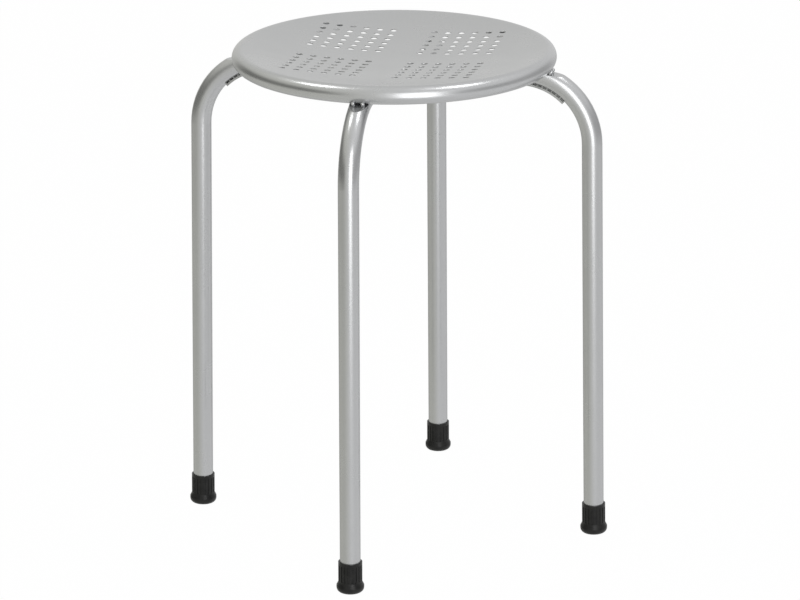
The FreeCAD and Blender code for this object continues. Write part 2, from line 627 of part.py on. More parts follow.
def draw_level_sole(sketch):
    """All that lies below the floor, drawn in the frame of a leaning ferrule."""
    tilt = math.tan(math.radians(value("sizes.leg_splay")))
    reach = value(FLARE_RADIUS) * 2
    depth = value("sizes.foot_toe")
    level = segment(sketch, Vector(-reach, reach * tilt, 0), Vector(reach, -reach * tilt, 0))
    right = segment(sketch, Vector(reach, -reach * tilt, 0), Vector(reach, -depth, 0))
    bottom = segment(sketch, Vector(reach, -depth, 0), Vector(-reach, -depth, 0))
    left = segment(sketch, Vector(-reach, -depth, 0), Vector(-reach, reach * tilt, 0))
    chain(sketch, level, right, bottom, left, level)
    constrain(sketch, "Vertical", right)
    constrain(sketch, "Vertical", left)
    constrain(sketch, "Symmetric", level, START, level, END, *ORIGIN)
    width = f"{FLARE_RADIUS} * 4"
    dimension(sketch, "width", "DistanceX", (bottom, END, bottom, START), width)
    dimension(sketch, "rise", "DistanceY", (level, END, level, START), f"{width} * tan(sizes.leg_splay)")
    dimension(sketch, "right_depth", "DistanceY", (right, END, *ORIGIN), "sizes.foot_toe")
    dimension(sketch, "left_depth", "DistanceY", (bottom, END, *ORIGIN), "sizes.foot_toe")


def draw_flute(sketch):
    """Plan of one flute: a slot across the sleeve's outside, on the sketch's horizontal axis."""
    half = value("sizes.flute_width / 2")
    inner = value(f"{SLEEVE_RADIUS} - sizes.flute_depth")
    outer = value(FLARE_RADIUS)
    bottom = segment(sketch, Vector(inner, -half, 0), Vector(outer, -half, 0))
    far = segment(sketch, Vector(outer, -half, 0), Vector(outer, half, 0))
    top = segment(sketch, Vector(outer, half, 0), Vector(inner, half, 0))
    near = segment(sketch, Vector(inner, half, 0), Vector(inner, -half, 0))
    chain(sketch, bottom, far, top, near, bottom)
    constrain(sketch, "Horizontal", bottom)
    constrain(sketch, "Horizontal", top)
    constrain(sketch, "Vertical", far)
    constrain(sketch, "Symmetric", near, START, near, END, AXIS_X)
    dimension(sketch, "width", "DistanceY", (far, START, far, END), "sizes.flute_width")
    dimension(sketch, "inner", "DistanceX", (*ORIGIN, near, END), f"{SLEEVE_RADIUS} - sizes.flute_depth")
    dimension(sketch, "outer", "DistanceX", (*ORIGIN, far, START), FLARE_RADIUS)


def make_foot(label, turn):
    """A rubber ferrule on the leg's axis, with a level sole and a fluted sleeve."""
    body = new_body(label)
    section = new_sketch(body, "XZ_Plane", "foot_section")
    draw_foot_section(section)
    solid = body.newObject("PartDesign::Revolution", "ferrule")
    solid.Profile = section
    solid.ReferenceAxis = (section, ["V_Axis"])
    solid.Angle = 360
    level = new_sketch(body, "XZ_Plane", "below_floor")
    draw_level_sole(level)
    trimmed = body.newObject("PartDesign::Pocket", "level_sole")
    trimmed.Profile = level
    trimmed.Midplane = True
    trimmed.setExpression("Length", f"{FLARE_RADIUS} * 4")
    plan = new_sketch(body, "XY_Plane", "flute_plan", lift="sizes.foot_length - sizes.flute_margin")
    draw_flute(plan)
    flute = body.newObject("PartDesign::Pocket", "flute")
    flute.Profile = plan
    flute.setExpression("Length", f"sizes.foot_length - sizes.flute_margin - {SLEEVE_Z} - sizes.flute_rise")
    doc.recompute()
    flutes = body.newObject("PartDesign::PolarPattern", "flutes")
    flutes.Originals = [flute]
    flutes.Axis = (origin_plane(body, "Z_Axis"), [""])
    flutes.Angle = 360
    flutes.setExpression("Occurrences", "sizes.flute_count")
    body.Tip = flutes
    place(body, LEG_X, "0", turn, "-sizes.leg_splay")
    return body


def make_washer(label, turn):
    """The steel washer on the ferrule's floor that the tube's end stands on."""
    body = new_body(label)
    plan = new_sketch(body, "XY_Plane", "washer_plan", lift="sizes.foot_floor")
    for name, radius in (("edge", f"{BORE_RADIUS} - sizes.washer_gap"), ("hole", "sizes.washer_bore / 2")):
        ring = circle(plan, Vector(), value(radius))
        constrain(plan, "Coincident", ring, CENTRE, *ORIGIN)
        dimension(plan, name, "Radius", (ring,), radius)
    disc = body.newObject("PartDesign::Pad", "washer")
    disc.Profile = plan
    disc.setExpression("Length", "sizes.washer_thickness")
    place(body, LEG_X, "0", turn, "-sizes.leg_splay")
    return body


# Assembly

nodes = [make_seat()]
side_rod, side_tube = make_frame_tube("side_leg_tube", 1, LEGS["right"])
front_rod, front_tube = make_frame_tube("front_back_leg_tube", -1, LEGS["back"])
nodes += [side_tube, front_tube, make_lap_weld("lap_weld", side_rod, front_rod)]
rim_ring = make_rim_ring()
for leg, leg_turn in LEGS.items():
    leg_rod = side_rod if leg in ("right", "left") else front_rod
    nodes.append(make_rim_weld(f"rim_weld_{leg}", leg_turn, leg_rod, rim_ring))
    nodes.append(make_pad(f"stacking_pad_{leg}", leg_turn, leg_rod))
    nodes.append(make_foot(f"rubber_foot_{leg}", leg_turn))
    nodes.append(make_washer(f"foot_washer_{leg}", leg_turn))
doc.recompute()

for item in doc.Objects:
    if "Invalid" in item.State or "Error" in item.State:
        raise RuntimeError(f"{item.Label} failed: {item.State}")
for node in nodes:
    if node.Shape.isNull() or not node.Shape.isValid() or not node.Shape.Solids:
        raise RuntimeError(f"{node.Label} has no valid solid")

os.makedirs("parts", exist_ok=True)
for node in nodes:
    node.Shape.exportStep(f"parts/{node.Label}.step")
    print(f"{node.Label}: {len(node.Shape.Solids)} solid(s), {node.Shape.Volume:.0f} mm3")
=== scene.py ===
"""Looks for the stacking stool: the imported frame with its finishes, and a new seat, ferrules and welds.

Sizes inside the classes are millimetres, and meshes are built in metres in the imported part's own frame: the
origin on the floor under the middle of the seat, Z up, X towards the right leg and Y towards the back leg.
"""

import logging
import math
from contextlib import contextmanager
from dataclasses import dataclass
from enum import Enum
from typing import Callable, Iterator

import bmesh
import bpy
from mathutils import Euler, Matrix, Vector

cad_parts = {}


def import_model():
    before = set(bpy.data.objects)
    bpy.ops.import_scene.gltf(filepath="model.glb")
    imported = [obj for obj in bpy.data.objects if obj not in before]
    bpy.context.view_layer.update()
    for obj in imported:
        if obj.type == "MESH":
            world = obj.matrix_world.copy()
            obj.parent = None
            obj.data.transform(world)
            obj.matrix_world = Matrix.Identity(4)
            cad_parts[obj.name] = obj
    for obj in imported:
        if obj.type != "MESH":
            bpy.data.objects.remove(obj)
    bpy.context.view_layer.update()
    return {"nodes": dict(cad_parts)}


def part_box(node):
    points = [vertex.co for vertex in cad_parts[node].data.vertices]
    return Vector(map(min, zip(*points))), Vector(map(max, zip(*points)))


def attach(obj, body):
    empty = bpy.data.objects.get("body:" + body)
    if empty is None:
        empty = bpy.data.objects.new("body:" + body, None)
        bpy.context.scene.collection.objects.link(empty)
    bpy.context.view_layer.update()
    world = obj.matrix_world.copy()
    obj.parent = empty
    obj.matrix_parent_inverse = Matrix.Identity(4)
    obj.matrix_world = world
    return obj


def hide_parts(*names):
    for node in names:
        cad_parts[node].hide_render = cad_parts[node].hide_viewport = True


LOG = logging.getLogger("stacking_stool")
MM = 0.001
BODY = "root"
# Points nearer than this are one point
MERGE = 0.01 * MM
# Nearly all of a noise lies between these values
NOISE_SPREAD = (0.3, 0.7)
# A Mix node's colour sockets share their names with its other sockets, so they go by number
MIX_FIRST, MIX_SECOND, MIX_RESULT = 6, 7, 2
WHITE = "#FFFFFF"


class Leg(Enum):
    """The four legs, each with its turn about Z in degrees from the right leg."""

    RIGHT = 0
    BACK = 90
    LEFT = 180
    FRONT = 270

    @property
    def label(self) -> str:
        """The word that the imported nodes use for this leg."""
        return self.name.lower()

    @property
    def turn(self) -> Matrix:
        """The turn from the right leg's place to this one's."""
        return Matrix.Rotation(math.radians(self.value), 4, "Z")


class Slot(Enum):
    """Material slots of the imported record."""

    COATED_STEEL = "coated_steel"
    GREY_PLASTIC = "grey_plastic"
    BLACK_RUBBER = "black_rubber"
    ZINC_STEEL = "zinc_steel"


# Modelling helpers


def deselect() -> None:
    """Leave edit mode and select nothing."""
    if bpy.context.object and bpy.context.object.mode != "OBJECT":
        bpy.ops.object.mode_set(mode="OBJECT")
    bpy.ops.object.select_all(action="DESELECT")


def activate(piece: bpy.types.Object) -> None:
    """Select one object alone and make it the active one.

    Args:
        piece: the object to work on.
    """
    deselect()
    piece.select_set(True)
    bpy.context.view_layer.objects.active = piece


@contextmanager
def editing(piece: bpy.types.Object) -> Iterator[None]:
    """Edit mode on one object, entered with nothing selected.

    Args:
        piece: the object to edit.
    """
    activate(piece)
    bpy.ops.object.mode_set(mode="EDIT")
    bpy.ops.mesh.select_all(action="DESELECT")
    yield
    bpy.ops.object.mode_set(mode="OBJECT")


def select_vertices(piece: bpy.types.Object, chosen: Callable[[Vector], bool]) -> None:
    """Select the vertices whose place passes a test, in edit mode.

    Args:
        piece: the object in edit mode.
        chosen: the test of a vertex's place.
    """
    mesh = bmesh.from_edit_mesh(piece.data)
    for face in mesh.faces:
        face.select = False
    for edge in mesh.edges:
        edge.select = False
    for vertex in mesh.verts:
        vertex.select = chosen(vertex.co)
    mesh.select_flush(True)
    bmesh.update_edit_mesh(piece.data)


def select_faces(piece: bpy.types.Object, chosen: Callable[[Vector], bool]) -> None:
    """Select the faces whose middle passes a test, in edit mode.

    Args:
        piece: the object in edit mode.
        chosen: the test of a face's middle.
    """
    bpy.ops.mesh.select_mode(type="FACE")
    mesh = bmesh.from_edit_mesh(piece.data)
    for face in mesh.faces:
        face.select = chosen(face.calc_center_median())
    mesh.select_flush_mode()
    bmesh.update_edit_mesh(piece.data)


def extrude_ring(rise: float, scale: float) -> None:
    """Extrude the selected loop, raise it and scale it about the Z axis.

    Args:
        rise: height gained, in metres.
        scale: new radius over the old one.
    """
    bpy.ops.mesh.extrude_edges_move(TRANSFORM_OT_translate={"value": (0, 0, rise)})
    bpy.ops.transform.resize(value=(scale, scale, 1), center_override=(0, 0, 0))


def apply_modifier(piece: bpy.types.Object, kind: str, **settings: object) -> None:
    """Add a modifier with its settings and apply it.

    Args:
        piece: the object to change.
        kind: Blender's name of the modifier.
        settings: the modifier's own settings.
    """
    activate(piece)
    modifier = piece.modifiers.new(kind.title(), kind)
    for name, setting in settings.items():
        setattr(modifier, name, setting)
    bpy.ops.object.modifier_apply(modifier=modifier.name)


def round_edges(piece: bpy.types.Object, smooth: float, crease: float, width: float) -> None:
    """Shade a piece smooth and round its creases. The other order leaves streaks beside them.

    Args:
        piece: the object to change.
        smooth: the angle up to which faces are shaded as one, in degrees.
        crease: the angle from which an edge is rounded, in degrees.
        width: width of the rounding, in millimetres.
    """
    activate(piece)
    bpy.ops.object.shade_smooth_by_angle(angle=math.radians(smooth))
    apply_modifier(
        piece,
        "BEVEL",
        width=width * MM,
        segments=2,
        limit_method="ANGLE",
        angle_limit=math.radians(crease),
        harden_normals=True,
    )


def bake_place(piece: bpy.types.Object) -> None:
    """Move an object's place, turn and scale into its mesh.

    Args:
        piece: the object to bring back to the origin.
    """
    activate(piece)
    bpy.ops.object.transform_apply(location=True, rotation=True, scale=True)


def join(pieces: list[bpy.types.Object]) -> bpy.types.Object:
    """Join several objects into the first.

    Args:
        pieces: the objects, the one that stays first.

    Returns:
        The joined object.
    """
    activate(pieces[0])
    for piece in pieces[1:]:
        piece.select_set(True)
    bpy.ops.object.join()
    return pieces[0]


def finish_piece(
    piece: bpy.types.Object,
    name: str,
    slot: Slot,
    material: bpy.types.Material,
    *nodes: str,
) -> None:
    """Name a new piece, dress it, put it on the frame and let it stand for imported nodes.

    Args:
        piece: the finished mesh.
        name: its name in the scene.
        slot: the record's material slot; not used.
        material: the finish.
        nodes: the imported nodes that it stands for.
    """
    piece.name = name
    piece.data.name = name
    piece.data.materials.clear()
    piece.data.materials.append(material)
    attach(piece, BODY)
    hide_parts(*nodes)
    LOG.info("%s: %d faces for %s", name, len(piece.data.polygons), ", ".join(nodes))


# Finishes


def linear(code: str) -> tuple[float, float, float, float]:
    """An sRGB hex colour as the linear colour that Blender works in.

    Args:
        code: six hex digits after a hash.

    Returns:
        Red, green, blue and an alpha of one.
    """
    parts = [int(code[place : place + 2], 16) / 255 for place in (1, 3, 5)]
    return tuple(p / 12.92 if p <= 0.04045 else ((p + 0.055) / 1.055) ** 2.4 for p in parts) + (1.0,)


def add_node(
    tree: bpy.types.NodeTree,
    kind: str,
    inputs: dict[str | int, object] | None = None,
    **settings: object,
) -> bpy.types.Node:
    """Add a shader node with its settings, values and links.

    Args:
        tree: the node tree.
        kind: Blender's name of the node.
        inputs: for each input, the socket that feeds it or its value.
        settings: the node's own settings.

    Returns:
        The new node.
    """
    node = tree.nodes.new(kind)
    for name, setting in settings.items():
        setattr(node, name, setting)
    for socket, source in (inputs or {}).items():
        if isinstance(source, bpy.types.NodeSocket):
            tree.links.new(source, node.inputs[socket])
        else:
            node.inputs[socket].default_value = source
    return node


def chain(
    tree: bpy.types.NodeTree, first: bpy.types.NodeSocket, *steps: tuple[str, object]
) -> bpy.types.NodeSocket:
    """Arithmetic on a value, one step after another.

    Args:
        tree: the node tree.
        first: the value to start from.
        steps: for each step, Blender's name of the operation and the number or socket it takes.

    Returns:
        The result.
    """
    result = first
    for operation, term in steps:
        result = add_node(tree, "ShaderNodeMath", {0: result, 1: term}, operation=operation).outputs[0]
    return result


def pattern(tree: bpy.types.NodeTree, grain: float, detail: float = 2.0) -> bpy.types.NodeSocket:
    """Noise on the piece's own coordinates, with grains of a real size.

    Args:
        tree: the node tree.
        grain: size of a grain, in millimetres.
        detail: octaves of the noise.

    Returns:
        The noise's value.
    """
    place = add_node(tree, "ShaderNodeTexCoord").outputs["Object"]
    inputs = {"Vector": place, "Scale": 1 / (grain * MM), "Detail": detail}
    return add_node(tree, "ShaderNodeTexNoise", inputs).outputs["Fac"]


def uneven_roughness(
    tree: bpy.types.NodeTree, share: bpy.types.NodeSocket, ends: tuple[float, float]
) -> bpy.types.NodeSocket:
    """A roughness that follows a pattern from place to place.

    Args:
        tree: the node tree.
        share: the pattern's value.
        ends: the lowest and highest roughness.

    Returns:
        The roughness.
    """
    inputs = {
        "Value": share,
        "From Min": NOISE_SPREAD[0],
        "From Max": NOISE_SPREAD[1],
        "To Min": ends[0],
        "To Max": ends[1],
    }
    return add_node(tree, "ShaderNodeMapRange", inputs).outputs["Result"]


@dataclass(frozen=True)
class Finish:
    """What the finishes share: a name, two colours with their spread, and the making of the material."""

    name: str
    dark: str
    light: str
    spread: tuple[float, float]

    def inputs(self, tree: bpy.types.NodeTree) -> dict[str, object]:
        """What a finish gives its shader.

        Args:
            tree: the material's node tree.

        Returns:
            For each input, the socket that feeds it or its value.
        """
        raise NotImplementedError

    def blend(self, tree: bpy.types.NodeTree, share: bpy.types.NodeSocket) -> bpy.types.NodeSocket:
        """The two colours mixed by a pattern.

        Args:
            tree: the material's node tree.
            share: the pattern's value.

        Returns:
            The mixed colour.
        """
        ramp = add_node(tree, "ShaderNodeValToRGB", {"Fac": share})
        for stop, place, code in zip(ramp.color_ramp.elements, self.spread, (self.dark, self.light)):
            stop.position, stop.color = place, linear(code)
        return ramp.outputs["Color"]

    def bumps(
        self, tree: bpy.types.NodeTree, grain: float, depth: float, detail: float = 2.0
    ) -> bpy.types.NodeSocket:
        """The normal of a surface with grains of a real size.

        Args:
            tree: the material's node tree.
            grain: size of a grain, in millimetres.
            depth: height of a grain, in millimetres.
            detail: octaves of the noise.

        Returns:
            The normal.
        """
        inputs = {"Height": pattern(tree, grain, detail), "Distance": depth * MM, "Strength": 1.0}
        return add_node(tree, "ShaderNodeBump", inputs).outputs["Normal"]

    def material(self) -> bpy.types.Material:
        """The finish as a material.

        Returns:
            The material.
        """
        material = bpy.data.materials.new(self.name)
        material.use_nodes = True
        tree = material.node_tree
        tree.nodes.clear()
        shader = add_node(tree, "ShaderNodeBsdfPrincipled", self.inputs(tree))
        add_node(tree, "ShaderNodeOutputMaterial", {"Surface": shader.outputs["BSDF"]})
        return material


@dataclass(frozen=True)
class SilverPowderCoat(Finish):
    """Metallic polyester powder coat, sprayed and baked on steel: satin silver, with an uneven shine."""

    name: str = "silver_powder_coat"
    dark: str = "#B4B5B6"
    light: str = "#C3C4C5"
    spread: tuple[float, float] = NOISE_SPREAD
    metallic: float = 0.92
    roughness: tuple[float, float] = (0.26, 0.32)
    gloss_coat: float = 0.25
    gloss_coat_roughness: float = 0.12
    flake: float = 0.5
    peel: float = 3.5
    peel_depth: float = 0.008
    drift: float = 42.0

    def inputs(self, tree: bpy.types.NodeTree) -> dict[str, object]:
        """Flakes, orange peel and a drifting gloss. The flakes are ten times too coarse, so that they show.

        Args:
            tree: the material's node tree.

        Returns:
            For each input, the socket that feeds it or its value.
        """
        return {
            "Base Color": self.blend(tree, pattern(tree, self.flake, detail=3)),
            "Metallic": self.metallic,
            "Roughness": uneven_roughness(tree, pattern(tree, self.drift), self.roughness),
            "Normal": self.bumps(tree, self.peel, self.peel_depth),
            "Coat Weight": self.gloss_coat,
            "Coat Roughness": self.gloss_coat_roughness,
        }


@dataclass(frozen=True)
class MouldedPolypropylene(Finish):
    """Injection-moulded polypropylene: matt light grey with the fine grain of a spark-eroded mould."""

    name: str = "moulded_polypropylene"
    dark: str = "#A3A4A2"
    light: str = "#B9BAB8"
    spread: tuple[float, float] = (0.35, 0.65)
    roughness: float = 0.52
    ior: float = 1.49
    grain: float = 0.6
    grain_depth: float = 0.02
    cloud: float = 9.0

    def inputs(self, tree: bpy.types.NodeTree) -> dict[str, object]:
        """A fine grain on clouded grey.

        Args:
            tree: the material's node tree.

        Returns:
            For each input, the socket that feeds it or its value.
        """
        return {
            "Base Color": self.blend(tree, pattern(tree, self.cloud)),
            "Roughness": self.roughness,
            "IOR": self.ior,
            "Normal": self.bumps(tree, self.grain, self.grain_depth),
        }


@dataclass(frozen=True)
class MouldedRubber(Finish):
    """Compression-moulded black rubber: near black and half matt, a little greyer where bloom lies."""

    name: str = "moulded_black_rubber"
    dark: str = "#0A0A0A"
    light: str = "#222221"
    spread: tuple[float, float] = (0.35, 0.75)
    roughness: tuple[float, float] = (0.26, 0.42)
    ior: float = 1.52
    specular: float = 0.3
    grain: float = 0.5
    grain_depth: float = 0.025
    bloom: float = 6.0

    def inputs(self, tree: bpy.types.NodeTree) -> dict[str, object]:
        """A moulded grain, and bloom that greys and dulls the black in patches.

        Args:
            tree: the material's node tree.

        Returns:
            For each input, the socket that feeds it or its value.
        """
        bloom = pattern(tree, self.bloom, detail=4)
        return {
            "Base Color": self.blend(tree, bloom),
            "Roughness": uneven_roughness(tree, bloom, self.roughness),
            "IOR": self.ior,
            "Specular IOR Level": self.specular,
            "Normal": self.bumps(tree, self.grain, self.grain_depth, detail=4),
        }


@dataclass(frozen=True)
class ZincPlate(Finish):
    """Bright zinc plating on a punched steel washer: pale blue-grey, faintly spangled."""

    name: str = "zinc_plate"
    dark: str = "#A7ABAE"
    light: str = "#C9CCCE"
    spread: tuple[float, float] = (0.4, 0.6)
    roughness: float = 0.34
    spangle: float = 1.5

    def inputs(self, tree: bpy.types.NodeTree) -> dict[str, object]:
        """A spangled bare metal.

        Args:
            tree: the material's node tree.

        Returns:
            For each input, the socket that feeds it or its value.
        """
        return {
            "Base Color": self.blend(tree, pattern(tree, self.spangle)),
            "Metallic": 1.0,
            "Roughness": self.roughness,
        }


# Pieces


@dataclass
class SeatPan:
    """The pressed seat: a shallow dish pierced by four blocks of round holes, with a rolled rim.

    The holes stand on one lattice, whose two middle rows and columns stay plain.
    """

    sheet: float = 0.8
    dish_depth: float = 10.5
    rim_curl: float = 60.0
    hole_diameter: float = 6.0
    hole_pitch: float = 13.1
    holes_in_row: int = 6
    cell_edges: int = 5
    border_cuts: int = 7
    rim_steps: int = 26
    rim_slack: float = 0.05
    edge_round: float = 0.1
    smooth_angle: float = 35.0
    crease_angle: float = 50.0

    def __post_init__(self) -> None:
        """Take the rim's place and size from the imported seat."""
        low, high = (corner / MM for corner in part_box("seat_pan"))
        self.rim_radius = (high.z - low.z) / 2
        self.rim_line = (high.x - low.x) / 2 - self.rim_radius
        self.rim_z = high.z - self.rim_radius
        self.dish_z = high.z - self.dish_depth
        rise = self.rim_line**2 + self.dish_depth**2
        self.dish_radius = rise / (2 * self.dish_depth) - self.rim_radius
        self.slope = math.asin(self.rim_line / (self.dish_radius + self.rim_radius))

    def build(self, material: bpy.types.Material) -> None:
        """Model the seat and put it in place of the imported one.

        Args:
            material: the finish.
        """
        pan = self._lattice()
        self._border(pan)
        self._press(pan)
        self._roll_rim(pan)
        apply_modifier(pan, "SOLIDIFY", thickness=self.sheet * MM, offset=-1.0, use_even_offset=True)
        round_edges(pan, self.smooth_angle, self.crease_angle, self.edge_round)
        finish_piece(pan, "pressed_seat", Slot.COATED_STEEL, material, "seat_pan")

    def _pierced_cell(self) -> bpy.types.Object:
        """One square of the lattice with its round hole, at the first hole's place.

        Returns:
            The cell.
        """
        # The first hole stands a cell and a half from each axis
        middle = 1.5 * self.hole_pitch * MM
        deselect()
        bpy.ops.mesh.primitive_grid_add(
            x_subdivisions=self.cell_edges,
            y_subdivisions=self.cell_edges,
            size=self.hole_pitch * MM,
            location=(middle, middle, 0),
        )
        cell = bpy.context.object
        bake_place(cell)
        half = self.hole_pitch / 2 * MM
        sides = self.cell_edges * 4
        with editing(cell):
            bpy.ops.mesh.select_mode(type="VERT")
            select_vertices(cell, lambda co: max(abs(co.x - middle), abs(co.y - middle)) < half - MERGE)
            bpy.ops.mesh.delete(type="VERT")
            bpy.ops.mesh.select_all(action="SELECT")
            bpy.ops.mesh.delete(type="ONLY_FACE")
            bpy.ops.mesh.select_all(action="DESELECT")
            bpy.ops.mesh.primitive_circle_add(
                vertices=sides,
                radius=self.hole_diameter / 2 * MM,
                location=(middle, middle, 0),
                rotation=(0, 0, math.radians(180 / sides)),
            )
            bpy.ops.mesh.select_all(action="SELECT")
            bpy.ops.mesh.bridge_edge_loops()
        return cell

    def _plain_strip(self, columns: int, rows: int, first_column: int) -> bpy.types.Object:
        """A plain part of the lattice along the X axis.

        Args:
            columns: cells along X.
            rows: cells along Y.
            first_column: cells between the Y axis and the strip.

        Returns:
            The strip.
        """
        pitch = self.hole_pitch * MM
        deselect()
        bpy.ops.mesh.primitive_grid_add(
            x_subdivisions=columns * self.cell_edges,
            y_subdivisions=rows * self.cell_edges,
            size=pitch,
            location=((first_column + columns / 2) * pitch, rows / 2 * pitch, 0),
        )
        strip = bpy.context.object
        strip.scale = (columns, rows, 1)
        bake_place(strip)
        return strip

    def _lattice(self) -> bpy.types.Object:
        """The whole square of cells: one quarter, mirrored twice.

        Returns:
            The flat lattice.
        """
        cell = self._pierced_cell()
        for offset in ((1, 0, 0), (0, 1, 0)):
            step = Vector(offset) * self.hole_pitch * MM
            apply_modifier(
                cell,
                "ARRAY",
                count=self.holes_in_row,
                use_relative_offset=False,
                use_constant_offset=True,
                constant_offset_displace=step,
            )
        cells = self.holes_in_row + 1
        lattice = join([cell, self._plain_strip(1, cells, 0), self._plain_strip(self.holes_in_row, 1, 1)])
        with editing(lattice):
            bpy.ops.mesh.select_all(action="SELECT")
            bpy.ops.mesh.remove_doubles(threshold=MERGE)
        apply_modifier(lattice, "MIRROR", use_axis=(True, True, False), merge_threshold=MERGE)
        return lattice

    def _border(self, pan: bpy.types.Object) -> None:
        """Fill from the lattice's square edge out to the round line where the rim begins.

        Args:
            pan: the flat lattice.
        """
        edge = (self.holes_in_row + 1) * self.hole_pitch * MM
        start = (self.rim_line - self.rim_radius * math.sin(self.slope)) * MM
        with editing(pan):
            bpy.ops.mesh.select_mode(type="VERT")
            select_vertices(pan, lambda co: max(abs(co.x), abs(co.y)) > edge - MERGE)
            bpy.ops.mesh.extrude_edges_move()
            bpy.ops.transform.tosphere(value=1)
            mesh = bmesh.from_edit_mesh(pan.data)
            reach = max(vertex.co.length for vertex in mesh.verts if vertex.select)
            bpy.ops.transform.resize(value=(start / reach,) * 3, center_override=(0, 0, 0))
            bpy.ops.mesh.select_all(action="DESELECT")
            mesh = bmesh.from_edit_mesh(pan.data)
            for spoke in mesh.edges:
                inner, outer = sorted(vertex.co.length for vertex in spoke.verts)
                spoke.select = outer > start - MERGE and inner < start - MERGE
            bmesh.update_edit_mesh(pan.data)
            bpy.ops.mesh.subdivide_edgering(number_cuts=self.border_cuts, interpolation="LINEAR")
            bpy.ops.mesh.select_all(action="SELECT")
            bpy.ops.mesh.normals_make_consistent(inside=False)

    def _press(self, pan: bpy.types.Object) -> None:
        """Press the flat sheet into the dish, a sphere too shallow for a primitive or a modifier to follow.

        Args:
            pan: the flat sheet.
        """
        centre_z = self.dish_z + self.dish_radius
        with editing(pan):
            mesh = bmesh.from_edit_mesh(pan.data)
            for vertex in mesh.verts:
                reach = vertex.co.xy.length / MM
                vertex.co.z = (centre_z - math.sqrt(self.dish_radius**2 - reach**2)) * MM
            mesh.normal_update()
            if sum(face.normal.z for face in mesh.faces) < 0:
                bmesh.ops.reverse_faces(mesh, faces=mesh.faces)
            bmesh.update_edit_mesh(pan.data)

    def _roll_rim(self, pan: bpy.types.Object) -> None:
        """Extrude the edge round the rim's section, down, under and back in.

        Args:
            pan: the dished sheet.
        """
        first = math.pi / 2 + self.slope
        sweep = first + math.pi / 2 + math.radians(self.rim_curl)
        start = (self.rim_line + self.rim_radius * math.cos(first)) * MM
        with editing(pan):
            bpy.ops.mesh.select_mode(type="VERT")
            select_vertices(pan, lambda co: abs(co.xy.length - start) < self.rim_slack * MM)
            reach, height = start, (self.rim_z + self.rim_radius * math.sin(first)) * MM
            for step in range(1, self.rim_steps + 1):
                angle = first - sweep * step / self.rim_steps
                next_reach = (self.rim_line + self.rim_radius * math.cos(angle)) * MM
                next_height = (self.rim_z + self.rim_radius * math.sin(angle)) * MM
                extrude_ring(next_height - height, next_reach / reach)
                reach, height = next_reach, next_height


